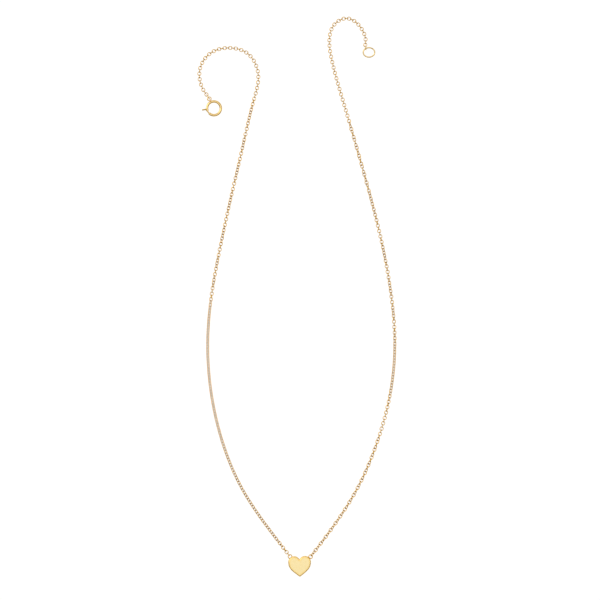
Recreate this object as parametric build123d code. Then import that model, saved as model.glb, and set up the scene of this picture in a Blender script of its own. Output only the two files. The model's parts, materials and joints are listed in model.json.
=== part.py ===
from build123d import *
import math
import os

# A fine cable-chain necklace with a small heart, lying flat as it would on a bench.
# Millimetres. The surface that it lies on is z = 0. +Y runs from the heart to the chain's ends. Places are
# drawn in one layout, which is then moved so that the origin is under the middle of the whole necklace.
LAYOUT_MIDDLE = (-0.307, 0.170)

# ---- chain link: a round wire bent into an oval and closed
LINK_WIRE = 0.23
LINK_LENGTH = 1.40
LINK_WIDTH = 1.24
LINKS_PER_SEGMENT = 11
SEGMENTS_PER_STRAND = 20
LINK_REACH = (LINK_LENGTH - LINK_WIRE) / 2  # from a link's middle to the wire at its end
LINK_BEND = (LINK_WIDTH - LINK_WIRE) / 2  # radius of the wire's centre line at each end

# ---- heart
HEART_TOP = (0.47, -81.50)  # middle of the line across the tops of its lobes
HEART_TILT = 1.5
HEART_THICK = 1.20
LOBE_RADIUS = 1.88
LOBE_OFFSET = 1.70
HEART_HEIGHT = 6.55
HEART_SIDE = ((2.82, -4.20), (1.52, -5.45))  # points that the right side passes
TIP_SLOPE = (-1.35, -1.0)
TIP_ROUND = 0.30
CLEFT_ROUND = 0.22
FACE_ROUND = 0.38
BACK_ROUND = 0.12

# ---- loops soldered to the heart's shoulders
LOOP_WIRE = 0.28
LOOP_OUTER = 1.46
LOOP_HEIGHT = 0.62
LOOP_LEFT = (-2.50, -81.62)
LOOP_RIGHT = (3.98, -81.66)
LOOP_RADIUS = (LOOP_OUTER - LOOP_WIRE) / 2
LOOP_GAP = 0.05  # slack between a loop's wire and the first link's

# ---- spring ring clasp: a bent tube whose bolt slides back along it
CLASP_CENTRE = (-26.45, 59.49)
CLASP_TUBE = 0.86
CLASP_BORE = 0.58
CLASP_RADIUS = 2.17  # of the tube's centre line
CLASP_MOUTH = (203.0, 228.0)  # degrees, from +X, between the tube's cut ends
BOLT_WIRE = 0.48
BOLT_SEAT = 6.0  # degrees of the bolt held in the tube beyond the mouth
BOLT_TAIL = 168.0
BORE_OVERRUN = 1.0  # degrees of the bore beyond the cut ends
TRIGGER_AT = 188.0
TRIGGER_WIRE = 0.42
TRIGGER_OUT = 1.18  # beyond the tube
TRIGGER_TRAVEL = 34.0
TRIGGER_SET_IN = 0.02  # into the bolt
TRIGGER_ROUND = 0.16
TRIGGER_BED = 20.0  # degrees of the bolt, each way, that its foot is cut to
SLOT_WIDTH = 0.50
SPRING_WIRE = 0.07
SPRING_RADIUS = 0.20
SPRING_END = 96.0
SPRING_TURNS = 11
SPRING_POINTS = 8  # a turn
SPRING_GAP = 1.5  # degrees between the bolt and the coil
EYE_AT = 116.0
EYE_DISTANCE = 3.34  # its rim just meets the tube
EYE_OUTER = 1.50
EYE_WIRE = 0.32
EYE_LIFT = 0.07  # above the tube's middle

# ---- jump ring between the chain and the clasp's eye
JUMP_OUTER = 1.90
JUMP_WIRE = 0.32
JUMP_HEADING = 122.0  # degrees, from the eye towards the chain

# ---- connector and oval end ring on the other end
CONNECTOR_OUTER = 1.74
CONNECTOR_WIRE = 0.28
CONNECTOR_HEADING = 104.0  # degrees, from the end ring towards the chain
END_RING_CENTRE = (22.37, 77.10)
END_RING_LONG = 4.06
END_RING_SHORT = 3.40
END_RING_WIRE = 0.44
END_RING_CURVE = 1.30  # radius of the wire's centre line round each end
END_RING_LIFT = 0.50  # its near side lies over the connector's wire
END_RING_JOINT_AT = 130.0
RING_GAP = 0.15  # slack between the end ring's wire and the connector's
LAST_LINK_GAP = 0.07  # slack between a last link's wire and the ring that it hangs on

# ---- route of each strand from its loop on the heart, closer points where it curves more
STRAND_HEIGHT = 0.625  # where a link that stands on edge just clears the surface
LEFT_ROUTE = (
    (*LOOP_LEFT, STRAND_HEIGHT),
    (-8.8, -73.4, 0.58),
    (-17.57, -60.3, 0.50),
    (-23.69, -45.8, 0.50),
    (-27.25, -30.5, 0.50),
    (-28.41, -14.8, 0.55),
    (-27.16, 0.9, STRAND_HEIGHT),
    (-24.34, 16.4, STRAND_HEIGHT),
    (-21.0, 31.8, STRAND_HEIGHT),
    (-17.45, 47.1, STRAND_HEIGHT),
    (-13.8, 62.4, STRAND_HEIGHT),
    (-12.5, 70.1, STRAND_HEIGHT),
    (-15.8, 76.7, STRAND_HEIGHT),
    (-21.8, 78.5, STRAND_HEIGHT),
    (-27.6, 76.8, STRAND_HEIGHT),
    (-30.9, 71.6, STRAND_HEIGHT),
    (-30.5, 66.9, STRAND_HEIGHT),
)
RIGHT_ROUTE = (
    (*LOOP_RIGHT, STRAND_HEIGHT),
    (10.0, -73.7, STRAND_HEIGHT),
    (18.52, -60.5, STRAND_HEIGHT),
    (24.78, -46.1, STRAND_HEIGHT),
    (28.95, -30.9, STRAND_HEIGHT),
    (30.5, -15.3, STRAND_HEIGHT),
    (29.4, 0.4, STRAND_HEIGHT),
    (26.69, 15.9, STRAND_HEIGHT),
    (22.95, 31.2, STRAND_HEIGHT),
    (18.7, 46.4, STRAND_HEIGHT),
    (14.3, 61.5, STRAND_HEIGHT),
    (10.6, 75.0, STRAND_HEIGHT),
    (9.9, 81.0, STRAND_HEIGHT),
    (11.5, 85.9, STRAND_HEIGHT),
    (15.4, 87.8, STRAND_HEIGHT),
    (19.4, 85.4, STRAND_HEIGHT),
)
# ---- how far each strand is twisted: distance from the heart, degrees
LEFT_TWIST = (
    (0, 0), (8, 45), (84, 45), (90, 90), (96, 180), (103, 270), (113, 360),
    (124, 450), (134, 540), (141, 630), (147, 675), (153, 720), (200, 720),
)  # fmt: skip
RIGHT_TWIST = (
    (0, 0), (44, -1530), (50, -1530), (60, -1575), (72, -1575), (80, -1620), (87, -1710),
    (96, -1800), (102, -1845), (108, -1890), (122, -1935), (145, -2880), (200, -2880),
)  # fmt: skip


def on_circle(centre, radius, degrees, height=0.0):
    """A point at an angle round a centre, seen from above."""
    angle = math.radians(degrees)
    return Vector(centre[0] + radius * math.cos(angle), centre[1] + radius * math.sin(angle), height)


def heading(degrees):
    """The level direction at an angle from +X."""
    return on_circle((0, 0), 1, degrees)


def round_ring(outer, wire):
    """A closed ring of round wire, flat about the origin."""
    return Torus((outer - wire) / 2, wire / 2)


def bent_rod(radius, wire, start, end):
    """A round rod bent round the origin from one angle to another, in degrees."""
    section = Plane.XZ * Pos(radius, 0) * Circle(wire / 2)
    return Rot(0, 0, start) * revolve(section, Axis.Z, end - start)


def chain_link():
    """One oval link, flat about the origin, its length along X."""
    straight = LINK_LENGTH - LINK_WIDTH
    half = bent_rod(LINK_BEND, LINK_WIRE, -90, 90)
    side = Pos(0, LINK_BEND) * Rot(0, 90, 0) * Cylinder(LINK_WIRE / 2, straight)
    ends = [Pos(straight / 2, 0) * half, Rot(0, 0, 180) * Pos(straight / 2, 0) * half]
    return ends[0] + ends[1] + side + mirror(side, Plane.XZ)


def twist_at(table, distance):
    """Straight-line reading of a twist table."""
    for (s0, a0), (s1, a1) in zip(table, table[1:]):
        if distance <= s1:
            return a0 + (a1 - a0) * (distance - s0) / (s1 - s0)
    return table[-1][1]


def link_planes(route, table, last_inset):
    """A plane for each link of a strand: origin at its middle, x along the strand, z square to the link.

    The first link hangs on a loop's wire and the last link's middle is last_inset before the route's end.
    """
    path = Spline(*route)
    first = LOOP_RADIUS - (LOOP_WIRE + LINK_WIRE) / 2 - LOOP_GAP + LINK_REACH
    count = LINKS_PER_SEGMENT * SEGMENTS_PER_STRAND
    pitch = (path.length - first - last_inset) / (count - 1)
    planes = []
    for i in range(count):
        distance = first + i * pitch
        along = path.tangent_at(distance / path.length).normalized()
        side = Vector(0, 0, 1).cross(along).normalized()
        roll = math.radians(90 * (i + 1) + twist_at(table, distance))
        across = side * math.cos(roll) + along.cross(side) * math.sin(roll)
        planes.append(Plane(path.position_at(distance / path.length), x_dir=along, z_dir=along.cross(across)))
    return planes, pitch


def segments(planes):
    """The planes cut into equal runs of links."""
    return [planes[i : i + LINKS_PER_SEGMENT] for i in range(0, len(planes), LINKS_PER_SEGMENT)]


def far_wire(plane):
    """Where the wire at a link's far end is centred."""
    return plane.origin + plane.x_dir * LINK_REACH


def heart_outline():
    """The heart's face, drawn from one half and its mirror image."""
    centre_y = -LOBE_RADIUS
    cleft_y = centre_y + math.sqrt(LOBE_RADIUS**2 - LOBE_OFFSET**2)
    top = (LOBE_OFFSET, 0)
    side = (LOBE_OFFSET + LOBE_RADIUS, centre_y)
    tip = (0, -HEART_HEIGHT)
    lobe = ThreePointArc((0, cleft_y), top, side)
    flank = Spline(side, *HEART_SIDE, tip, tangents=[(0, -1), TIP_SLOPE])
    half = [lobe, flank]
    other = [edge.mirror(Plane.YZ) for edge in half]
    return make_face(Wire(half + other)), (0, cleft_y), tip


def heart():
    """The solid heart: flat back, flat face with a wide rounded edge."""
    face, cleft, tip = heart_outline()
    blank = extrude(face, HEART_THICK)
    uprights = blank.edges().filter_by(Axis.Z)
    at_cleft = uprights.sort_by_distance(Vector(*cleft, HEART_THICK / 2))[0]
    blank = fillet(at_cleft, CLEFT_ROUND)
    at_tip = blank.edges().filter_by(Axis.Z).sort_by_distance(Vector(*tip, HEART_THICK / 2))[0]
    blank = fillet(at_tip, TIP_ROUND)
    blank = fillet(blank.faces().sort_by(Axis.Z)[-1].edges(), FACE_ROUND)
    blank = fillet(blank.faces().sort_by(Axis.Z)[0].edges(), BACK_ROUND)
    return Pos(*HEART_TOP) * Rot(0, 0, HEART_TILT) * blank


def heart_loop(centre, body):
    """A ring cut away where it meets the heart, as it is soldered there."""
    return Pos(*centre, LOOP_HEIGHT) * round_ring(LOOP_OUTER, LOOP_WIRE) - body


def in_clasp(shape):
    """Moves a shape drawn about the origin to the clasp."""
    return Pos(*CLASP_CENTRE, CLASP_TUBE / 2) * shape


def clasp_casing():
    """The clasp's tube, open at the mouth, with the slot that the trigger slides in."""
    mouth_start, mouth_end = CLASP_MOUTH
    sweep_to = mouth_start + 360
    tube = bent_rod(CLASP_RADIUS, CLASP_TUBE, mouth_end, sweep_to)
    bore = bent_rod(CLASP_RADIUS, CLASP_BORE, mouth_end - BORE_OVERRUN, sweep_to + BORE_OVERRUN)
    half_slot = math.degrees(SLOT_WIDTH / 2 / CLASP_RADIUS)
    slot_section = Plane.XZ * Pos(CLASP_RADIUS + CLASP_TUBE / 2, 0) * Rectangle(CLASP_TUBE, SLOT_WIDTH)
    slot_start = TRIGGER_AT - TRIGGER_TRAVEL - half_slot
    slot_sweep = TRIGGER_TRAVEL + 2 * half_slot
    slot = Rot(0, 0, slot_start) * revolve(slot_section, Axis.Z, slot_sweep)
    return in_clasp(tube - bore - slot)


def clasp_bolt():
    """The curved wire that closes the mouth."""
    return in_clasp(bent_rod(CLASP_RADIUS, BOLT_WIRE, BOLT_TAIL, CLASP_MOUTH[1] + BOLT_SEAT))


def clasp_trigger():
    """The peg that stands out of the slot, with a rounded end, set into the bolt's side."""
    start = CLASP_RADIUS + BOLT_WIRE / 2 - TRIGGER_SET_IN
    length = CLASP_RADIUS + CLASP_TUBE / 2 + TRIGGER_OUT - start
    peg = Pos(start + length / 2, 0) * Rot(0, 90, 0) * Cylinder(TRIGGER_WIRE / 2, length)
    peg = fillet(peg.edges().sort_by(Axis.X)[-1], TRIGGER_ROUND)
    bolt = bent_rod(CLASP_RADIUS, BOLT_WIRE, -TRIGGER_BED, TRIGGER_BED)
    return in_clasp(Rot(0, 0, TRIGGER_AT) * (peg - bolt))


def clasp_spring():
    """A coil that follows the bore behind the bolt, drawn as level turns joined into a helix."""
    start, end = BOLT_TAIL - SPRING_GAP, SPRING_END
    points = []
    steps = SPRING_TURNS * SPRING_POINTS
    for i in range(steps + 1):
        turn = 2 * math.pi * i / SPRING_POINTS
        radius = CLASP_RADIUS + SPRING_RADIUS * math.cos(turn)
        height = SPRING_RADIUS * math.sin(turn)
        points.append(on_circle((0, 0), radius, start + (end - start) * i / steps, height))
    path = Spline(*points)
    section = Plane(path @ 0, z_dir=path % 0) * Circle(SPRING_WIRE / 2)
    return in_clasp(sweep(section, path))


def clasp_eye():
    """The small ring soldered to the outside of the clasp's tube."""
    return in_clasp(Pos(*on_circle((0, 0), EYE_DISTANCE, EYE_AT, EYE_LIFT)) * round_ring(EYE_OUTER, EYE_WIRE))


def upright_ring(outer, wire, centre, direction):
    """A ring standing on edge, its plane along a level direction."""
    plane = Plane(centre, x_dir=direction, z_dir=Vector(0, 0, 1).cross(direction))
    return plane * round_ring(outer, wire)


def oval_ring():
    """The end ring: four arcs of round wire, flat about the origin, its length along X."""
    long_half = (END_RING_LONG - END_RING_WIRE) / 2
    short_half = (END_RING_SHORT - END_RING_WIRE) / 2
    end_middle = long_half - END_RING_CURVE
    # the flat arcs' centres lie on Y, so far out that they run smoothly into the end arcs
    bulge = short_half - END_RING_CURVE
    drop = (end_middle**2 - bulge**2) / (2 * bulge)
    flat_radius = short_half + drop
    turn = math.degrees(math.atan2(drop, end_middle))
    end = Pos(end_middle, 0) * bent_rod(END_RING_CURVE, END_RING_WIRE, -turn, turn)
    flat = Pos(0, -drop) * bent_rod(flat_radius, END_RING_WIRE, turn, 180 - turn)
    return end + mirror(end, Plane.YZ) + flat + mirror(flat, Plane.XZ)


def eye_centre():
    """The middle of the eye's hole."""
    return on_circle(CLASP_CENTRE, EYE_DISTANCE, EYE_AT, CLASP_TUBE / 2 + EYE_LIFT)


def jump_ring_centre():
    """The jump ring stands on edge, and its wire passes through the middle of the eye's hole."""
    radius = (JUMP_OUTER - JUMP_WIRE) / 2
    height = JUMP_OUTER / 2
    eye = eye_centre()
    back = math.sqrt(radius**2 - (height - eye.Z) ** 2)
    level = eye + heading(JUMP_HEADING) * back
    return Vector(level.X, level.Y, height)


def jump_ring_chain_point():
    """Where the jump ring's wire crosses the chain's height, on the side away from the eye."""
    radius = (JUMP_OUTER - JUMP_WIRE) / 2
    centre = jump_ring_centre()
    chain_height = LEFT_ROUTE[-1][2]
    out = math.sqrt(radius**2 - (centre.Z - chain_height) ** 2)
    level = centre + heading(JUMP_HEADING) * out
    return Vector(level.X, level.Y, chain_height)


def end_ring_near_point():
    """The middle of the end ring's wire where the connector holds it."""
    level = on_circle(END_RING_CENTRE, 1.0, END_RING_JOINT_AT)
    direction = Vector(level.X - END_RING_CENTRE[0], level.Y - END_RING_CENTRE[1], 0)
    long_half = (END_RING_LONG - END_RING_WIRE) / 2
    short_half = (END_RING_SHORT - END_RING_WIRE) / 2
    reach = 1 / math.sqrt((direction.X / long_half) ** 2 + (direction.Y / short_half) ** 2)
    return Vector(*END_RING_CENTRE, END_RING_WIRE / 2 + END_RING_LIFT) + direction * reach


def end_ring():
    """The oval ring, leaning up to the connector's side."""
    towards = heading(END_RING_JOINT_AT)
    across = Vector(0, 0, 1).cross(towards)
    lean = math.degrees(math.atan2(END_RING_LIFT, END_RING_LONG - END_RING_WIRE))
    centre_height = END_RING_WIRE / 2 + END_RING_LIFT / 2
    pivot = Axis((0, 0, 0), across)
    return Pos(*END_RING_CENTRE, centre_height) * oval_ring().rotate(pivot, -lean)


def connector_centre():
    """The connector stands on edge with the end ring's wire against the far side of its hole."""
    radius = (CONNECTOR_OUTER - CONNECTOR_WIRE) / 2
    back = radius - (CONNECTOR_WIRE + END_RING_WIRE) / 2 - RING_GAP
    level = end_ring_near_point() + heading(CONNECTOR_HEADING) * back
    return Vector(level.X, level.Y, CONNECTOR_OUTER / 2)


def connector_chain_point():
    """The middle of the connector's wire on the chain's side, at the chain's height."""
    radius = (CONNECTOR_OUTER - CONNECTOR_WIRE) / 2
    centre = connector_centre()
    chain_height = RIGHT_ROUTE[-1][2]
    out = math.sqrt(radius**2 - (centre.Z - chain_height) ** 2)
    level = centre + heading(CONNECTOR_HEADING) * out
    return Vector(level.X, level.Y, chain_height)


def last_link_inset(ring_wire):
    """From the point where a ring's wire crosses the chain back to the last link's middle."""
    return LINK_REACH - (LINK_WIRE + ring_wire) / 2 - LAST_LINK_GAP


def strand_planes():
    """The link planes and pitch of the left and right strands."""
    left = link_planes(
        [*LEFT_ROUTE, jump_ring_chain_point()], LEFT_TWIST, last_link_inset(JUMP_WIRE)
    )
    right = link_planes(
        [*RIGHT_ROUTE, connector_chain_point()], RIGHT_TWIST, last_link_inset(CONNECTOR_WIRE)
    )
    return {"left": left, "right": right}


def write(name, shape):
    """One node, moved to the origin's frame: a group of separate solids, or one solid."""
    moved = Pos(-LAYOUT_MIDDLE[0], -LAYOUT_MIDDLE[1]) * shape
    solids = moved.solids()
    shape = solids[0] if len(solids) == 1 else Compound(children=solids)
    export_step(shape, f"parts/{name}.step")
    print(f"{name:18s} {len(solids):3d} solids {sum(s.volume for s in solids):9.4f} mm3")


def main():
    os.makedirs("parts", exist_ok=True)
    pendant = heart()
    write("heart_pendant", pendant)
    write("heart_loop_left", heart_loop(LOOP_LEFT, pendant))
    write("heart_loop_right", heart_loop(LOOP_RIGHT, pendant))

    link = chain_link()
    for side, (planes, pitch) in strand_planes().items():
        print(f"{side} strand: {len(planes)} links at {pitch:.4f} mm")
        for number, run in enumerate(segments(planes), 1):
            write(f"{side}_chain_{number:02d}", Compound(children=[plane.location * link for plane in run]))

    write("clasp_casing", clasp_casing())
    write("clasp_bolt", clasp_bolt())
    write("clasp_trigger", clasp_trigger())
    write("clasp_spring", clasp_spring())
    write("clasp_eye", clasp_eye())
    direction = heading(JUMP_HEADING)
    write("clasp_jump_ring", upright_ring(JUMP_OUTER, JUMP_WIRE, jump_ring_centre(), direction))
    ring = upright_ring(CONNECTOR_OUTER, CONNECTOR_WIRE, connector_centre(), heading(CONNECTOR_HEADING))
    write("end_connector", ring)
    write("end_ring", end_ring())


if __name__ == "__main__":
    main()
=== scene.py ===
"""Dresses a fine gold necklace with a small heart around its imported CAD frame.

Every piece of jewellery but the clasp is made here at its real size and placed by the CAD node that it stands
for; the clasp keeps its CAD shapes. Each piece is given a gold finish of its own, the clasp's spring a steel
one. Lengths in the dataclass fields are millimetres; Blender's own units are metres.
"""

import json
import logging
import math
from collections.abc import Callable, Sequence
from dataclasses import dataclass, field
from enum import Enum

import bpy
import numpy as np
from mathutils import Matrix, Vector
from mathutils.geometry import delaunay_2d_cdt

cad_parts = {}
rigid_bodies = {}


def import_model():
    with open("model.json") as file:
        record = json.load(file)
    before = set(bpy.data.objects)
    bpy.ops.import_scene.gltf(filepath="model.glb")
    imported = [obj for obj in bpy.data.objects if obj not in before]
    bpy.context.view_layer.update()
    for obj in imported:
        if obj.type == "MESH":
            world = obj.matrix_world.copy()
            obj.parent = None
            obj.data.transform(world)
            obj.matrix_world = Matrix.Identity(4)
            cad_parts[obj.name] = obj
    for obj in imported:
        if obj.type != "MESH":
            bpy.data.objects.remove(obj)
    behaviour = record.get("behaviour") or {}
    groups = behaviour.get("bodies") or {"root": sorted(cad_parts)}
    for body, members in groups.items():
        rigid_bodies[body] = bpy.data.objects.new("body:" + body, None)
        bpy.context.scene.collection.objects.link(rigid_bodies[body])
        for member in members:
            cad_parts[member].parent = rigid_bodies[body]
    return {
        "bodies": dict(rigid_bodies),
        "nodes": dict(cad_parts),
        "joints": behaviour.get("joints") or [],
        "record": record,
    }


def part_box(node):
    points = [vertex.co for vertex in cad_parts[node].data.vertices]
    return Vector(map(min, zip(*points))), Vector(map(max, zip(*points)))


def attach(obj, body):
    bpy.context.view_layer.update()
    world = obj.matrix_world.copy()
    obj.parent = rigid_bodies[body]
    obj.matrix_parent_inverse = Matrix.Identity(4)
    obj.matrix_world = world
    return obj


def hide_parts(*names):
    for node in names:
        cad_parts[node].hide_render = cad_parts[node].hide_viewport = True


log = logging.getLogger("necklace")

MM = 0.001
FULL_TURN = 2 * math.pi
UP = np.array([0.0, 0.0, 1.0])
Colour = tuple[float, float, float]


class Side(Enum):
    """Which of the two strands or loops, seen from above with the heart nearest."""

    LEFT = "left"
    RIGHT = "right"


class Polish(Enum):
    """How the metal's surface was left."""

    MIRROR = "mirror"
    BRUSHED = "brushed"


# ---------------------------------------------------------------------------- shader maths


@dataclass(frozen=True)
class Value:
    """A number that varies over a surface; arithmetic on it adds Math nodes."""

    graph: "ShaderGraph"
    socket: bpy.types.NodeSocket

    def _math(self, operation: str, first: object, second: object) -> "Value":
        """Adds one Math node.

        Args:
            operation: The Math node's operation.
            first: Its first value, a Value or a number.
            second: Its second value, a Value or a number.

        Returns:
            The node's result.
        """
        made = self.graph.node("ShaderNodeMath", {"operation": operation}, {0: first, 1: second})
        return Value(self.graph, made.outputs[0])

    def __add__(self, other: object) -> "Value":
        """Sum."""
        return self._math("ADD", self, other)

    def __radd__(self, other: object) -> "Value":
        """Sum with a number on the left."""
        return self._math("ADD", other, self)

    def __sub__(self, other: object) -> "Value":
        """Difference."""
        return self._math("SUBTRACT", self, other)

    def __rsub__(self, other: object) -> "Value":
        """Difference with a number on the left."""
        return self._math("SUBTRACT", other, self)

    def __mul__(self, other: object) -> "Value":
        """Product."""
        return self._math("MULTIPLY", self, other)

    def __rmul__(self, other: object) -> "Value":
        """Product with a number on the left."""
        return self._math("MULTIPLY", other, self)


class ShaderGraph:
    """A material's or world's node tree, built from expressions."""

    def __init__(self, owner: bpy.types.Material | bpy.types.World) -> None:
        """Starts an empty tree on a new material or world."""
        owner.use_nodes = True
        self.tree = owner.node_tree
        self.tree.nodes.clear()

    def node(
        self,
        kind: str,
        settings: dict[str, object] | None = None,
        inputs: dict[str | int, object] | None = None,
    ) -> bpy.types.Node:
        """Adds any node.

        Args:
            kind: Blender's name for the node's type.
            settings: Its properties, set first; "stops" gives a colour ramp's positions and colours.
            inputs: Values, sockets or Values for its inputs, by name or place.

        Returns:
            The new node.
        """
        made = self.tree.nodes.new(kind)
        for name, setting in (settings or {}).items():
            if name == "stops":
                self._set_stops(made.color_ramp, setting)
            else:
                setattr(made, name, setting)
        for key, value in (inputs or {}).items():
            source = value.socket if isinstance(value, Value) else value
            if isinstance(source, bpy.types.NodeSocket):
                self.tree.links.new(source, made.inputs[key])
            else:
                made.inputs[key].default_value = source
        return made

    @staticmethod
    def _set_stops(ramp: bpy.types.ColorRamp, stops: Sequence[tuple[float, Colour]]) -> None:
        """Replaces a colour ramp's stops.

        Args:
            ramp: The ramp.
            stops: Positions from 0 to 1 with their colours, in order.
        """
        while len(ramp.elements) > 1:
            ramp.elements.remove(ramp.elements[-1])
        ramp.elements[0].position = stops[0][0]
        ramp.elements[0].color = (*stops[0][1], 1.0)
        for position, colour in stops[1:]:
            ramp.elements.new(position).color = (*colour, 1.0)

    def value(self, kind: str, settings: dict[str, object], inputs: dict, output: str | int = 0) -> Value:
        """Adds a node and returns one of its outputs as a Value."""
        return Value(self, self.node(kind, settings, inputs).outputs[output])

    def noise(self, feature: float, detail: float = 3.0, stretch: Colour = (1, 1, 1)) -> Value:
        """Adds a cloudy pattern.

        Args:
            feature: Size of its features in millimetres.
            detail: Blender's noise detail.
            stretch: How much finer the pattern is along X, Y and Z.

        Returns:
            The pattern, from 0 to 1.
        """
        place = self.node("ShaderNodeTexCoord").outputs["Object"]
        scaled = self.node("ShaderNodeMapping", {}, {"Vector": place, "Scale": stretch}).outputs[0]
        scale = 1 / (feature * MM)
        return self.value("ShaderNodeTexNoise", {}, {"Vector": scaled, "Scale": scale, "Detail": detail})

    def attribute(self, name: str) -> Value:
        """Reads a number stored on the mesh's points."""
        return self.value("ShaderNodeAttribute", {"attribute_name": name}, {}, "Fac")

    def smooth(self, value: Value, low: float, high: float) -> Value:
        """Eases a value from 0 at low to 1 at high."""
        settings = {"interpolation_type": "SMOOTHSTEP"}
        return self.value("ShaderNodeMapRange", settings, {"Value": value, "From Min": low, "From Max": high})

    def blend(self, amount: Value | float, first: object, second: object) -> bpy.types.NodeSocket:
        """Mixes two colours.

        Args:
            amount: 0 for the first colour, 1 for the second.
            first: A colour or a colour socket.
            second: A colour or a colour socket.

        Returns:
            The mixed colour's socket.
        """
        colours = [(*c, 1.0) if isinstance(c, tuple) else c for c in (first, second)]
        inputs = {"Factor": amount, "A": colours[0], "B": colours[1]}
        made = self.tree.nodes.new("ShaderNodeMix")
        made.data_type = "RGBA"
        for socket in made.inputs:
            if socket.enabled and socket.name in inputs:
                self._feed(socket, inputs[socket.name])
        return next(s for s in made.outputs if s.enabled)

    def _feed(self, socket: bpy.types.NodeSocket, value: object) -> None:
        """Links or sets one input socket."""
        source = value.socket if isinstance(value, Value) else value
        if isinstance(source, bpy.types.NodeSocket):
            self.tree.links.new(source, socket)
        else:
            socket.default_value = source

    def bump(self, height: Value, depth: float, strength: float) -> bpy.types.NodeSocket:
        """Adds a bump.

        Args:
            height: The pattern that stands up.
            depth: How far it stands up, in millimetres.
            strength: How strongly it shows, from 0 to 1.

        Returns:
            The bent normal's socket.
        """
        inputs = {"Strength": strength, "Distance": depth * MM, "Height": height}
        return self.node("ShaderNodeBump", {}, inputs).outputs["Normal"]

    def finish(self, shader: bpy.types.Node, output: str = "ShaderNodeOutputMaterial") -> None:
        """Sends the shader to the tree's output."""
        self.node(output, {}, {"Surface": shader.outputs[0]})


# ---------------------------------------------------------------------------- finishes


@dataclass(frozen=True)
class GoldFinish:
    """Yellow gold: its clean colour, a darker colour painted in as shade where parts meet and also used at
    seams and solder joints, and how it was polished.
    """

    name: str
    colour: Colour
    painted_shade_and_joints: Colour
    roughness: float
    polish: Polish = Polish.MIRROR
    haze: float = 0.05
    mottle: float = 0.35
    grain: float = 0.12
    grain_depth: float = 0.0015
    scratch_depth: float = 0.0010

    def material(self) -> bpy.types.Material:
        """Builds the material.

        Returns:
            A metal whose colour, roughness and surface vary with cast mottling, wear and fine scratches, and
            whose colour also darkens where a mesh attribute paints shade or marks seams and solder joints.
        """
        made = bpy.data.materials.new(self.name)
        graph = ShaderGraph(made)
        clouds = graph.noise(0.9, 2.0)
        grain = graph.noise(self.grain, 4.0)
        along = (1.0, 14.0, 14.0) if self.polish is Polish.BRUSHED else (1.0, 6.0, 3.0)
        scratches = graph.smooth(graph.noise(0.5, 5.0, along), 0.46, 0.70)
        # Painted shade: this mesh attribute blends in the darker colour where links interlock and over the
        # heart's edge and sides; it also marks seams and solder joints.
        painted_shade_and_joints = graph.attribute("painted_shade_and_joints")
        tone = graph.smooth(clouds, 0.38, 0.68) * self.mottle
        worn = tuple(0.8 * c + 0.2 * r for c, r in zip(self.colour, self.painted_shade_and_joints))
        clean = graph.blend(tone, self.colour, worn)
        base = graph.blend(painted_shade_and_joints, clean, self.painted_shade_and_joints)
        rough = self.roughness + (grain - 0.5) * self.haze + scratches * (self.haze * 0.8) + painted_shade_and_joints * 0.12
        relief = grain * self.grain_depth + scratches * self.scratch_depth
        shader = graph.node(
            "ShaderNodeBsdfPrincipled",
            {},
            {
                "Base Color": base,
                "Metallic": 1.0,
                "Roughness": rough,
                "Normal": graph.bump(relief, 1.0, 1.0),
            },
        )
        graph.finish(shader)
        return made


@dataclass(frozen=True)
class SteelFinish:
    """Bright drawn spring wire."""

    name: str = "spring_wire"
    colour: Colour = (0.62, 0.62, 0.64)
    roughness: float = 0.24

    def material(self) -> bpy.types.Material:
        """Builds the material.

        Returns:
            A grey metal with faint drawing marks.
        """
        made = bpy.data.materials.new(self.name)
        graph = ShaderGraph(made)
        marks = graph.noise(0.05, 3.0)
        shader = graph.node(
            "ShaderNodeBsdfPrincipled",
            {},
            {
                "Base Color": graph.blend(marks, self.colour, tuple(0.8 * c for c in self.colour)),
                "Metallic": 1.0,
                "Roughness": self.roughness + marks * 0.1,
                "Normal": graph.bump(marks, 0.001, 0.5),
            },
        )
        graph.finish(shader)
        return made


@dataclass(frozen=True)
class PaperFinish:
    """The plain white sheet under the necklace."""

    name: str = "white_sheet"
    colour: Colour = (0.30, 0.30, 0.30)
    glow: float = 0.80

    def material(self) -> bpy.types.Material:
        """Builds the material.

        Returns:
            Matt white.
        """
        made = bpy.data.materials.new(self.name)
        graph = ShaderGraph(made)
        inputs = {
            "Base Color": (*self.colour, 1.0),
            "Roughness": 0.9,
            "Specular IOR Level": 0.1,
            "Emission Color": (1.0, 1.0, 1.0, 1.0),
            "Emission Strength": self.glow,
        }
        graph.finish(graph.node("ShaderNodeBsdfPrincipled", {}, inputs))
        return made


# The second colour of each gold is its darker colour: painted shade on the chain's interlocks and on the
# heart's edge and sides, the colour of seams and solder joints on the rings and loops, and a little of it in
# the random mottling.
CHAIN_GOLD = GoldFinish("chain_gold", (0.84, 0.50, 0.07), (0.32, 0.13, 0.002), 0.15)
HEART_GOLD = GoldFinish(
    "heart_gold",
    (0.96, 0.79, 0.42),
    (0.96, 0.61, 0.13),
    0.24,
    Polish.BRUSHED,
    haze=0.08,
    mottle=0.5,
    grain=0.16,
)
CLASP_GOLD = GoldFinish("clasp_gold", (0.92, 0.65, 0.27), (0.30, 0.13, 0.01), 0.12)
TRIGGER_GOLD = GoldFinish("trigger_gold", (0.62, 0.38, 0.05), (0.30, 0.20, 0.05), 0.26)
RING_GOLD = GoldFinish("ring_gold", (0.92, 0.68, 0.31), (0.22, 0.12, 0.02), 0.17)
SPRING_STEEL = SteelFinish()


# ---------------------------------------------------------------------------- mesh work


@dataclass(frozen=True, eq=False)
class Seat:
    """Where a piece lies: its middle in metres and its own axes, as columns."""

    middle: np.ndarray
    axes: np.ndarray

    def place(self, points: np.ndarray) -> np.ndarray:
        """Moves points in millimetres about the origin to the seat, in metres."""
        return points * MM @ self.axes.T + self.middle


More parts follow.
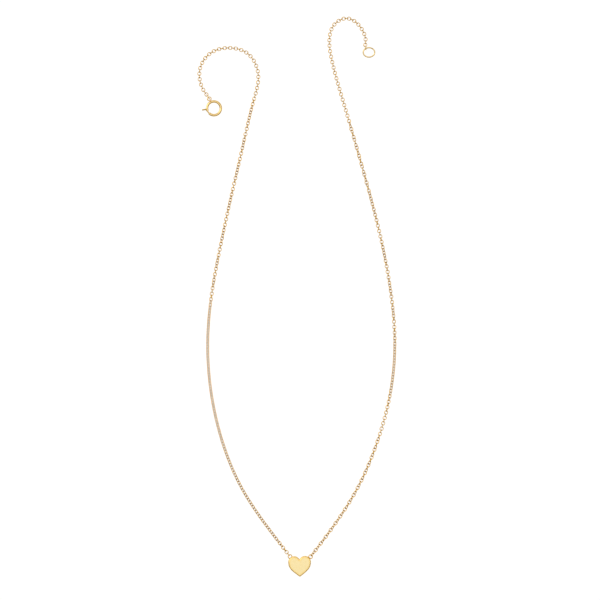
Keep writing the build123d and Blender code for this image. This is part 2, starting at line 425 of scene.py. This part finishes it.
def unit(vector: np.ndarray) -> np.ndarray:
    """The vector at length one."""
    return vector / np.linalg.norm(vector)


def axes_from(normal: np.ndarray, along: np.ndarray) -> np.ndarray:
    """Axes whose third is the normal and whose first is as near along as it can be."""
    third = unit(normal)
    first = unit(along - third * (along @ third))
    return np.column_stack([first, np.cross(third, first), third])


def node_triangles(node: bpy.types.Object) -> tuple[np.ndarray, np.ndarray]:
    """A CAD node's mesh with its coincident points joined.

    Args:
        node: The CAD node's object.

    Returns:
        The points, and each triangle's three point numbers.
    """
    mesh = node.data
    mesh.calc_loop_triangles()
    points = np.empty(len(mesh.vertices) * 3, np.float32)
    mesh.vertices.foreach_get("co", points)
    points = points.reshape(-1, 3).astype(float)
    corners = np.empty(len(mesh.loop_triangles) * 3, np.int32)
    mesh.loop_triangles.foreach_get("vertices", corners)
    rounded = np.round(points / (MM * 1e-4))
    _, first, joined = np.unique(rounded, axis=0, return_index=True, return_inverse=True)
    return points[first], joined.reshape(-1)[corners].reshape(-1, 3)


def separate_solids(points: np.ndarray, triangles: np.ndarray) -> list[np.ndarray]:
    """Sorts triangles into the solids that they close.

    Args:
        points: The mesh's points.
        triangles: Each triangle's point numbers.

    Returns:
        The triangles of each solid, as arrays of corner positions.
    """
    label = np.arange(len(points))
    while True:
        least = label[triangles].min(axis=1)
        new = label.copy()
        for corner in range(3):
            np.minimum.at(new, triangles[:, corner], least)
        new = new[new]
        if np.array_equal(new, label):
            break
        label = new
    owner = label[triangles[:, 0]]
    return [points[triangles[owner == solid]] for solid in np.unique(owner)]


def solid_seat(corners: np.ndarray) -> Seat:
    """Where a flat, ring-like solid lies.

    Args:
        corners: Its triangles' corners, in metres.

    Returns:
        Its centre of volume, with its longest axis first and its thinnest last.
    """
    origin = corners.reshape(-1, 3).mean(axis=0)
    a, b, c = (corners[:, k] - origin for k in range(3))
    volumes = np.einsum("ij,ij->i", a, np.cross(b, c))
    middle = (volumes[:, None] * (a + b + c) / 4).sum(axis=0) / volumes.sum()
    areas = np.linalg.norm(np.cross(b - a, c - a), axis=1)
    faces = (a + b + c) / 3 - middle
    _, directions = np.linalg.eigh((faces * areas[:, None]).T @ faces)
    return Seat(middle + origin, axes_from(directions[:, 0], directions[:, 2]))


def ring_seat(node: bpy.types.Object) -> Seat:
    """Where a node of one ring lies."""
    return solid_seat(separate_solids(*node_triangles(node))[0])


@dataclass
class MeshParts:
    """Points and faces gathered into one piece, with a number for each point saying how much painted shade,
    or seam and solder colour, it takes.
    """

    points: list[np.ndarray] = field(default_factory=list)
    faces: list[tuple[int, ...]] = field(default_factory=list)
    painted_shade_and_joints: list[np.ndarray] = field(default_factory=list)
    count: int = 0

    def add(
        self, points: np.ndarray, faces: Sequence[Sequence[int]], painted_shade_and_joints: np.ndarray | None = None
    ) -> None:
        """Adds one closed shape.

        Args:
            points: Its points, in metres.
            faces: Its faces, as numbers of those points.
            painted_shade_and_joints: 0 to 1 for each point, how much painted shade or seam colour it takes;
                none is 0 all over.
        """
        self.faces.extend(tuple(int(i) + self.count for i in face) for face in faces)
        self.points.append(points)
        self.painted_shade_and_joints.append(np.zeros(len(points)) if painted_shade_and_joints is None else painted_shade_and_joints)
        self.count += len(points)

    def piece(self, name: str, material: bpy.types.Material) -> bpy.types.Object:
        """Makes the object.

        Args:
            name: The piece's name.
            material: Its one material.

        Returns:
            The object, smooth and linked to the scene.
        """
        mesh = bpy.data.meshes.new(name)
        mesh.from_pydata(np.vstack(self.points).tolist(), [], self.faces)
        mesh.polygons.foreach_set("use_smooth", [True] * len(mesh.polygons))
        stored = mesh.attributes.new("painted_shade_and_joints", "FLOAT", "POINT")
        stored.data.foreach_set("value", np.concatenate(self.painted_shade_and_joints).astype(np.float32))
        mesh.materials.append(material)
        mesh.validate()
        made = bpy.data.objects.new(name, mesh)
        bpy.context.scene.collection.objects.link(made)
        return made


def grid_faces(rows: int, columns: int, closed: bool) -> list[tuple[int, int, int, int]]:
    """Quads between rows of points that each go once round.

    Args:
        rows: How many rows.
        columns: Points in a row.
        closed: Whether the last row joins the first.

    Returns:
        The faces, facing outwards for rows that turn by the right-hand rule about the way they advance.
    """
    faces = []
    for i in range(rows if closed else rows - 1):
        j = (i + 1) % rows
        for k in range(columns):
            m = (k + 1) % columns
            faces.append((i * columns + k, i * columns + m, j * columns + m, j * columns + k))
    return faces


@dataclass(frozen=True)
class Wire:
    """A length of round wire along a level path: centres, outward directions and radii, in millimetres."""

    centres: np.ndarray
    outward: np.ndarray
    radii: np.ndarray
    closed: bool
    around: int = 20

    def points(self) -> np.ndarray:
        """The wire's surface, ring after ring."""
        turn = np.arange(self.around) * FULL_TURN / self.around
        out = self.outward[:, None, :] * np.cos(turn)[None, :, None]
        up = UP[None, None, :] * np.sin(turn)[None, :, None]
        return (self.centres[:, None, :] + (out + up) * self.radii[:, None, None]).reshape(-1, 3)

    def faces(self) -> list[tuple[int, ...]]:
        """Its faces, with the ends of an open wire closed."""
        rows = len(self.centres)
        grid = grid_faces(rows, self.around, self.closed)
        faces: list[tuple[int, ...]] = [tuple(reversed(f)) for f in grid]
        if not self.closed:
            faces.append(tuple(range(self.around)))
            faces.append(tuple(reversed(range((rows - 1) * self.around, rows * self.around))))
        return faces


def oval_wire(straight: float, bend: float, wire: float, steps: int, around: int) -> Wire:
    """A closed oval of wire: two half circles and the straights between them, its length along X.

    Args:
        straight: Length of each straight side.
        bend: Radius of the half circles' centre line.
        wire: The wire's diameter.
        steps: Stations round each half circle.
        around: Points round the wire.

    Returns:
        The wire.
    """
    angles = np.concatenate(
        [np.linspace(-math.pi / 2, math.pi / 2, steps), np.linspace(math.pi / 2, 3 * math.pi / 2, steps)]
    )
    outward = np.column_stack([np.cos(angles), np.sin(angles), np.zeros(2 * steps)])
    offset = np.where(np.arange(2 * steps) < steps, straight / 2, -straight / 2)
    centres = outward * bend + np.column_stack([offset, np.zeros((2 * steps, 2))])
    return Wire(centres, outward, np.full(2 * steps, wire / 2), True, around)


def ring_wire(outer: float, wire: float, swell: Callable[[np.ndarray], np.ndarray], steps: int = 72) -> Wire:
    """A closed round ring of wire whose thickness may vary.

    Args:
        outer: The ring's outer diameter.
        wire: The wire's diameter.
        swell: Gives, for angles round the ring in radians, how many times as thick the wire is there.
        steps: Stations round it.

    Returns:
        The wire.
    """
    angles = np.arange(steps) * FULL_TURN / steps
    outward = np.column_stack([np.cos(angles), np.sin(angles), np.zeros(steps)])
    return Wire(outward * (outer - wire) / 2, outward, wire / 2 * swell(angles), True)


def hump(angles: np.ndarray, at: float, width: float) -> np.ndarray:
    """A smooth hump of height one about an angle, in radians."""
    away = (angles - at + math.pi) % FULL_TURN - math.pi
    return np.exp(-((away / width) ** 2))


# ---------------------------------------------------------------------------- the chain


@dataclass
class ChainLink:
    """One oval link of round wire, closed with a solder seam in the middle of a long side, and with painted
    shade at its ends.
    """

    length: float = 1.40
    width: float = 1.24
    wire: float = 0.23
    steps: int = 15
    around: int = 14
    seam: float = 0.10
    # Reach of the painted shade round the places where neighbouring links ride, in millimetres.
    contact: float = 0.52

    def wire_path(self) -> Wire:
        """The link's wire about the origin."""
        bend = (self.width - self.wire) / 2
        plain = oval_wire(self.length - self.width, bend, self.wire, self.steps, self.around)
        along = plain.centres[:, 0]
        side = plain.centres[:, 1] < 0
        seam = self.seam * np.exp(-((along / 0.12) ** 2)) * side
        return Wire(plain.centres, plain.outward, plain.radii * (1 - seam), True, self.around)

    def painted_interlock_shade(self, points: np.ndarray) -> np.ndarray:
        """Painted shade: how far each point is inside the ends where the neighbouring links ride.

        Args:
            points: Points of the link, in millimetres.

        Returns:
            The painted shade, a number from 0, open, to 1, where two wires meet.
        """
        reach = self.length / 2 - self.wire
        near = np.hypot(np.abs(points[:, 0]) - reach, points[:, 1])
        share = np.clip(1 - near / self.contact, 0, 1)
        return share * share * (3 - 2 * share)


@dataclass
class Strand:
    """Half of the chain: links placed one by one where the CAD has them."""

    side: Side
    runs: int = 20
    link: ChainLink = field(default_factory=ChainLink)

    def seats(self, frame: dict) -> list[list[Seat]]:
        """Where each link lies.


        Returns:
            For each CAD node of the strand, its links' seats in order from the heart.
        """
        found: list[list[Seat]] = []
        low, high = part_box(f"heart_loop_{self.side.value}")
        last = np.array((low + high) / 2)
        for run in range(1, self.runs + 1):
            node = frame["nodes"][f"{self.side.value}_chain_{run:02d}"]
            loose = [solid_seat(c) for c in separate_solids(*node_triangles(node))]
            ordered = []
            while loose:
                nearest = min(loose, key=lambda seat: float(np.linalg.norm(seat.middle - last)))
                loose.remove(nearest)
                ordered.append(nearest)
                last = nearest.middle
            found.append(ordered)
        return self._turned_along(found)

    @staticmethod
    def _turned_along(runs: list[list[Seat]]) -> list[list[Seat]]:
        """Turns each seat's first axis along the strand, which its nearly round link doesn't show."""
        middles = np.array([seat.middle for run in runs for seat in run])
        along = np.gradient(middles, axis=0)
        place = iter(along)
        return [[Seat(seat.middle, axes_from(seat.axes[:, 2], next(place))) for seat in run] for run in runs]

    def build(self, frame: dict, gold: bpy.types.Material) -> list[bpy.types.Object]:
        """Makes one piece of separate links for each CAD node.

        Args:
            gold: The links' material.

        Returns:
            The pieces, riding on their bodies.
        """
        wire = self.link.wire_path()
        points, faces = wire.points(), wire.faces()
        # Painted shade inside the link ends, where the neighbouring links ride.
        painted_shade_and_joints = self.link.painted_interlock_shade(points)
        made = []
        for run, seats in enumerate(self.seats(frame), 1):
            node = f"{self.side.value}_chain_{run:02d}"
            parts = MeshParts()
            for seat in seats:
                parts.add(seat.place(points), faces, painted_shade_and_joints)
            piece = parts.piece(f"{node}_links", gold)
            made.append(carry(piece, node, node))
        return made


# ---------------------------------------------------------------------------- the heart and its loops


@dataclass
class HeartCharm:
    """The flat-backed heart: two round lobes, full sides, a wide rounded edge and a barely domed face; its
    edge and sides are painted a deeper, shaded gold.
    """

    thick: float = 1.20
    lobe_radius: float = 1.88
    lobe_offset: float = 1.70
    height: float = 6.54
    flank_handle: float = 1.90
    tip_handle: tuple[float, float] = (2.70, 2.00)
    tilt: float = 1.5
    corner: float = 0.16
    edge: float = 0.38
    dome: float = 0.09
    dome_reach: float = 1.7
    back_edge: float = 0.12
    # How far in from the outline painted shade reaches over the rounded edge, and how strong it is there and
    # on the sides.
    rim_shade_reach: float = 0.80
    rim_shade_strength: float = 0.90
    grid: float = 0.13

    def half_outline(self) -> np.ndarray:
        """The right half of the outline, from the cleft down to the tip."""
        centre = np.array([self.lobe_offset, -self.lobe_radius])
        cleft = math.pi - math.acos(self.lobe_offset / self.lobe_radius)
        angles = np.linspace(cleft, 0, 90)
        lobe = centre + self.lobe_radius * np.column_stack([np.cos(angles), np.sin(angles)])
        start, tip = lobe[-1], np.array([0.0, -self.height])
        handles = (start - (0, self.flank_handle), tip + self.tip_handle)
        t = np.linspace(0, 1, 90)[1:, None]
        flank = (
            (1 - t) ** 3 * start
            + 3 * t * (1 - t) ** 2 * handles[0]
            + 3 * t**2 * (1 - t) * handles[1]
            + t**3 * tip
        )
        return np.vstack([lobe, flank])

    def outline(self) -> np.ndarray:
        """The whole outline, clockwise, evenly spaced, its cleft and tip a little rounded."""
        half = self.half_outline()
        whole = np.vstack([half, half[-2:0:-1] * (-1, 1)])
        closed = np.vstack([whole, whole[:1]])
        run = np.concatenate([[0], np.cumsum(np.linalg.norm(np.diff(closed, axis=0), axis=1))])
        even = np.linspace(0, run[-1], 361)[:-1]
        points = np.column_stack([np.interp(even, run, closed[:, k]) for k in range(2)])
        reach = int(3 * self.corner / even[1])
        weights = np.exp(-((np.arange(-reach, reach + 1) * even[1] / self.corner) ** 2))
        weights /= weights.sum()
        return sum(w * np.roll(points, shift, axis=0) for shift, w in zip(range(-reach, reach + 1), weights))

    def inner_points(self, outline: np.ndarray) -> np.ndarray:
        """Points inside the outline, crowded along the edge.

        Args:
            outline: The outline.

        Returns:
            The points, none nearer to the outline than its row should be.
        """
        before, after = np.roll(outline, 1, axis=0), np.roll(outline, -1, axis=0)
        along = after - before
        inward = np.column_stack([along[:, 1], -along[:, 0]]) / np.linalg.norm(along, axis=1)[:, None]
        kept = []
        for depth in self.edge * np.array([0.02, 0.08, 0.18, 0.32, 0.48, 0.66, 0.84, 1.02, 1.25]):
            row = outline + inward * depth
            kept.append(row[self.depths(row, outline) > 0.97 * depth][:: 1 if depth < self.edge / 2 else 2])
        low, high = outline.min(axis=0), outline.max(axis=0)
        x, y = np.meshgrid(*(np.arange(low[k], high[k], self.grid) for k in range(2)))
        x[1::2] += self.grid / 2
        mesh = np.column_stack([x.ravel(), y.ravel()])
        inside = self.contains(mesh, outline) & (self.depths(mesh, outline) > 1.4 * self.edge)
        return np.vstack([*kept, mesh[inside]])

    @staticmethod
    def depths(points: np.ndarray, outline: np.ndarray) -> np.ndarray:
        """Each point's distance to the outline."""
        start, step = outline, np.roll(outline, -1, axis=0) - outline
        rel = points[:, None, :] - start[None, :, :]
        share = np.clip((rel * step).sum(axis=2) / (step * step).sum(axis=1), 0, 1)
        return np.linalg.norm(rel - share[:, :, None] * step, axis=2).min(axis=1)

    @staticmethod
    def contains(points: np.ndarray, outline: np.ndarray) -> np.ndarray:
        """Which points are inside the outline."""
        a, b = outline, np.roll(outline, -1, axis=0)
        x, y = points[:, 0:1], points[:, 1:2]
        spans = (a[:, 1] > y) != (b[:, 1] > y)
        cross = a[:, 0] + (y - a[:, 1]) * (b[:, 0] - a[:, 0]) / (b[:, 1] - a[:, 1] + 1e-12)
        return (spans & (x < cross)).sum(axis=1) % 2 == 1

    def face_height(self, depth: np.ndarray) -> np.ndarray:
        """Height of the front at a distance in from the outline."""
        inset = np.clip(1 - depth / self.edge, 0, 1)
        share = np.clip(depth / self.dome_reach, 0, 1)
        fall = self.dome * (1 - share * share * (3 - 2 * share))
        return self.thick - self.edge + self.edge * np.sqrt(1 - inset**2) - fall

    def shape(self) -> MeshParts:
        """Builds the closed heart about the middle of its lobes' tops, in millimetres.

        Returns:
            Its points and faces.
        """
        outline = self.outline()
        flat = np.vstack([outline, self.inner_points(outline)])
        count = len(outline)
        edges = [(i, (i + 1) % count) for i in range(count)]
        corners, _, faces, origins, _, _ = delaunay_2d_cdt([Vector(p) for p in flat], edges, [], 1, 1e-6)
        plane = np.array(corners)
        depth = self.depths(plane, outline)
        place = {source: index for index, sources in enumerate(origins) for source in sources}
        rim = [place[i] for i in range(count)]
        depth[rim] = 0
        front = np.column_stack([plane, self.face_height(depth)])
        front_faces = [f if self._upward(plane[list(f)]) else f[::-1] for f in faces]
        bow = np.linspace(0, math.pi / 2, 5)
        rows = [(0.0, h) for h in np.linspace(front[rim[0], 2], self.back_edge, 5)[1:]]
        rows += [(self.back_edge * (1 - math.cos(a)), self.back_edge * (1 - math.sin(a))) for a in bow[1:]]
        before, after = np.roll(outline, 1, axis=0), np.roll(outline, -1, axis=0)
        along = after - before
        inward = np.column_stack([along[:, 1], -along[:, 0]]) / np.linalg.norm(along, axis=1)[:, None]
        walls, wall_faces, upper = [], [], rim
        for number, (inset, level) in enumerate(rows):
            walls.append(np.column_stack([outline + inward * inset, np.full(count, level)]))
            lower = [len(front) + number * count + i for i in range(count)]
            for i, j in edges:
                wall_faces.append((upper[j], upper[i], lower[i], lower[j])[::-1])
            upper = lower
        parts = MeshParts()
        points = np.vstack([front, *walls])
        # Painted shade: the rounded edge and the sides take the finish's darker colour.
        rim_shade_share = np.clip(1 - depth / self.rim_shade_reach, 0, 1)
        painted_shade_and_joints = np.concatenate([rim_shade_share, np.ones(len(points) - len(front))]) * self.rim_shade_strength
        parts.add(points, [*front_faces, *wall_faces, tuple(upper)], painted_shade_and_joints)
        return parts

    @staticmethod
    def _upward(corners: np.ndarray) -> bool:
        """Whether a face's corners run anticlockwise seen from above."""
        (ax, ay), (bx, by), (cx, cy) = corners[:3]
        return (bx - ax) * (cy - ay) - (by - ay) * (cx - ax) > 0

    def build(self, gold: bpy.types.Material) -> bpy.types.Object:
        """Makes the heart where the CAD node lies.

        Args:
            gold: Its material.

        Returns:
            The piece.
        """
        parts = self.shape()
        turn = math.radians(self.tilt)
        axes = np.array(
            [[math.cos(turn), -math.sin(turn), 0], [math.sin(turn), math.cos(turn), 0], [0, 0, 1]]
        )
        turned = parts.points[0] @ axes.T
        low, high = (np.array(corner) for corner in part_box("heart_pendant"))
        middle = (low + high) / 2 - (turned.min(axis=0) + turned.max(axis=0)) / 2 * MM
        middle[2] = low[2]
        parts.points[0] = turned * MM + middle
        return carry(parts.piece("heart_charm", gold), "pendant", "heart_pendant")


@dataclass
class SolderedLoop:
    """A closed ring on the heart's shoulder, thicker where the solder ran along it."""

    side: Side
    outer: float = 1.46
    wire: float = 0.28
    flow: float = 0.35
    flow_width: float = 0.5

    def build(self, gold: bpy.types.Material) -> bpy.types.Object:
        """Makes the loop where the CAD node lies.

        Args:
            gold: Its material.

        Returns:
            The piece.
        """
        node = f"heart_loop_{self.side.value}"
        low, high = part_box(node)
        middle = np.array([(low.x + high.x) / 2, high.y - self.outer / 2 * MM, (low.z + high.z) / 2])
        heart_low, heart_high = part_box("heart_pendant")
        towards = (heart_low + heart_high) / 2 - Vector(middle)
        at = math.atan2(towards.y, towards.x)
        wire = ring_wire(self.outer, self.wire, lambda a: 1 + self.flow * hump(a, at, self.flow_width))
        points = wire.points()
        angles = np.arctan2(points[:, 1], points[:, 0])
        parts = MeshParts()
        flow = 0.9 * hump(angles, at, self.flow_width)
        parts.add(Seat(middle, np.eye(3)).place(points), wire.faces(), flow)
        return carry(parts.piece(f"{node}_ring", gold), "pendant", node)


# ---------------------------------------------------------------------------- clasp and end fittings


@dataclass
class OpenRing:
    """A ring of wire bent shut, its two cut ends pushed together."""

    node: str
    body: str
    outer: float
    wire: float
    seam_at: float
    slot: str = "ring_gold"

    def build(self, gold: bpy.types.Material, frame: dict) -> bpy.types.Object:
        """Makes the ring where the CAD node lies.

        Args:
            gold: Its material.

        Returns:
            The piece.
        """
        at = math.radians(self.seam_at)
        wire = ring_wire(self.outer, self.wire, lambda a: 1 - 0.3 * hump(a, at, 0.05), 120)
        points = wire.points()
        angles = np.arctan2(points[:, 1], points[:, 0])
        seat = ring_seat(frame["nodes"][self.node])
        parts = MeshParts()
        parts.add(seat.place(points), wire.faces(), hump(angles, at, 0.07))
        return carry(parts.piece(f"{self.node}_wire", gold), self.body, self.node)


@dataclass
class EndRing:
    """The oval ring that the clasp closes on: four arcs of round wire, soldered shut."""

    long: float = 4.06
    short: float = 3.40
    wire: float = 0.44
    end_radius: float = 1.30
    seam_at: float = 128.0

    def centre_line(self) -> tuple[np.ndarray, np.ndarray]:
        """The wire's centres and outward directions."""
        long_half, short_half = (self.long - self.wire) / 2, (self.short - self.wire) / 2
        reach, bulge = long_half - self.end_radius, short_half - self.end_radius
        drop = (reach**2 - bulge**2) / (2 * bulge)
        turn = math.atan2(drop, reach)
        centres, outward = [], []
        arcs = (
            (np.array([reach, 0.0]), self.end_radius, -turn, turn),
            (np.array([0.0, -drop]), short_half + drop, turn, math.pi - turn),
            (np.array([-reach, 0.0]), self.end_radius, math.pi - turn, math.pi + turn),
            (np.array([0.0, drop]), short_half + drop, math.pi + turn, FULL_TURN - turn),
        )
        for centre, radius, start, end in arcs:
            angles = np.linspace(start, end, 25)[:-1]
            out = np.column_stack([np.cos(angles), np.sin(angles)])
            centres.append(centre + radius * out)
            outward.append(out)
        flat = np.zeros((sum(len(c) for c in centres), 1))
        return np.hstack([np.vstack(centres), flat]), np.hstack([np.vstack(outward), flat])

    def build(self, gold: bpy.types.Material, frame: dict) -> bpy.types.Object:
        """Makes the ring where the CAD node lies.

        Args:
            gold: Its material.

        Returns:
            The piece.
        """
        centres, outward = self.centre_line()
        angles = np.arctan2(centres[:, 1], centres[:, 0])
        seam = hump(angles, math.radians(self.seam_at), 0.12)
        wire = Wire(centres, outward, self.wire / 2 * (1 - 0.06 * seam), True, 24)
        seat = ring_seat(frame["nodes"]["end_ring"])
        parts = MeshParts()
        parts.add(seat.place(wire.points()), wire.faces(), np.repeat(seam, wire.around) * 0.5)
        return carry(parts.piece("end_ring_wire", gold), "end_ring", "end_ring")


@dataclass
class SpringRing:
    """The clasp, whose CAD shapes stay as they are and take their finishes here."""

    finishes: dict[str, str] = field(
        default_factory=lambda: {
            "clasp_casing": "clasp_gold",
            "clasp_eye": "clasp_gold",
            "clasp_bolt": "clasp_gold",
            "clasp_trigger": "trigger_gold",
            "clasp_spring": "spring_wire",
        }
    )

    def dress(self, frame: dict, materials: dict[str, bpy.types.Material]) -> None:
        """Gives each of the clasp's CAD nodes its finish.

        Args:
            materials: Materials by name.
        """
        for node, finish in self.finishes.items():
            slots = frame["nodes"][node].material_slots
            for slot in slots:
                slot.material = materials[finish]
            log.info("%s dressed in %s", node, finish)


def carry(piece: bpy.types.Object, body: str, node: str) -> bpy.types.Object:
    """Puts a finished piece on its body in place of a CAD node, and reports it."""
    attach(piece, body)
    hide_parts(node)
    log.info("%s: %d faces on %s", piece.name, len(piece.data.polygons), body)
    return piece


# ---------------------------------------------------------------------------- the studio


@dataclass
class Studio:
    """A white sheet, a bright cloth overhead, a window at the upper left and a camera straight above."""

    view_width: float = 189.0
    view_middle: tuple[float, float] = (0.96, -1.03)
    camera_height: float = 1100.0
    sheet_side: float = 6000.0
    sheet_drop: float = 120.0  # clear of the lowest place a strand swings down to
    overhead: float = 1.25
    room: float = 0.03
    window: float = 0.90
    window_side: tuple[float, float] = (-0.4, 0.9)
    cloth_edge: tuple[float, float] = (0.62, 0.80)
    pane_edge: tuple[float, float] = (0.05, 0.65)
    horizon: tuple[float, float] = (0.02, 0.25)
    backdrop: Colour = (1.0, 1.0, 1.0)

    def camera(self) -> None:
        """Sets the camera above the necklace."""
        data = bpy.data.cameras.new("camera")
        data.lens = data.sensor_width * self.camera_height / self.view_width
        data.clip_end = 20.0
        made = bpy.data.objects.new("camera", data)
        made.location = (self.view_middle[0] * MM, self.view_middle[1] * MM, self.camera_height * MM)
        bpy.context.scene.collection.objects.link(made)
        bpy.context.scene.camera = made

    def sheet(self) -> None:
        """Hangs the white sheet below the necklace, out of the way of its moving strands."""
        half = self.sheet_side / 2 * MM
        mesh = bpy.data.meshes.new("sheet")
        corners = [(-half, -half, 0), (half, -half, 0), (half, half, 0), (-half, half, 0)]
        mesh.from_pydata(corners, [], [(0, 1, 2, 3)])
        mesh.materials.append(PaperFinish().material())
        made = bpy.data.objects.new("sheet", mesh)
        made.location.z = -self.sheet_drop * MM
        bpy.context.scene.collection.objects.link(made)

    def surroundings(self) -> None:
        """Lights everything from the sky: a bright cloth overhead, a window to one side, a dim room."""
        world = bpy.data.worlds.new("studio")
        bpy.context.scene.world = world
        graph = ShaderGraph(world)
        place = graph.node("ShaderNodeTexCoord").outputs["Generated"]
        split = graph.node("ShaderNodeSeparateXYZ", {}, {0: place}).outputs
        across, north, height = (Value(graph, split[axis]) for axis in "XYZ")
        cloth = graph.smooth(height, *self.cloth_edge)
        facing = across * self.window_side[0] + north * self.window_side[1]
        pane = graph.smooth(facing, *self.pane_edge) * graph.smooth(height, *self.horizon)
        strength = self.room + cloth * (self.overhead - self.room) + pane * (1 - cloth) * self.window
        seen = graph.node("ShaderNodeLightPath").outputs["Is Camera Ray"]
        lit = graph.node("ShaderNodeBackground", {}, {"Strength": strength})
        plain = graph.node("ShaderNodeBackground", {}, {"Color": (*self.backdrop, 1.0)})
        mixed = graph.node("ShaderNodeMixShader", {}, {0: seen, 1: lit.outputs[0], 2: plain.outputs[0]})
        graph.finish(mixed, "ShaderNodeOutputWorld")

    def lamps(self) -> None:
        """Hangs two wide soft lamps, the stronger on the window's side."""
        lamps = (("lamp_left", (-0.9, 0.5, 1.1), 4.0), ("lamp_right", (0.9, 0.3, 1.1), 1.5))
        for name, place, power in lamps:
            data = bpy.data.lights.new(name, "AREA")
            data.shape = "RECTANGLE"
            data.size, data.size_y, data.energy = 0.8, 0.8, power
            made = bpy.data.objects.new(name, data)
            made.location = place
            made.rotation_euler = (-Vector(place)).to_track_quat("-Z", "Y").to_euler()
            bpy.context.scene.collection.objects.link(made)

    def build(self) -> None:
        """Sets up the whole studio."""
        bpy.context.scene.view_settings.view_transform = "Standard"
        self.camera()
        self.sheet()
        self.surroundings()
        self.lamps()


def main() -> None:
    """Builds and dresses the necklace."""
    logging.basicConfig(level=logging.INFO, format="%(name)s: %(message)s")
    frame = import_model()
    bpy.context.view_layer.update()
    Studio().build()
    golds = (CHAIN_GOLD, HEART_GOLD, CLASP_GOLD, TRIGGER_GOLD, RING_GOLD, SPRING_STEEL)
    materials = {finish.name: finish.material() for finish in golds}
    for side in Side:
        Strand(side).build(frame, materials["chain_gold"])
        SolderedLoop(side).build(materials["chain_gold"])
    HeartCharm().build(materials["heart_gold"])
    SpringRing().dress(frame, materials)
    for ring in (
        OpenRing("clasp_jump_ring", "jump_ring", 1.90, 0.32, 70.0),
        OpenRing("end_connector", "connector", 1.74, 0.28, 60.0),
    ):
        ring.build(materials["ring_gold"], frame)
    EndRing().build(materials["ring_gold"], frame)
    bpy.context.view_layer.update()


if __name__ == "__main__":
    main()
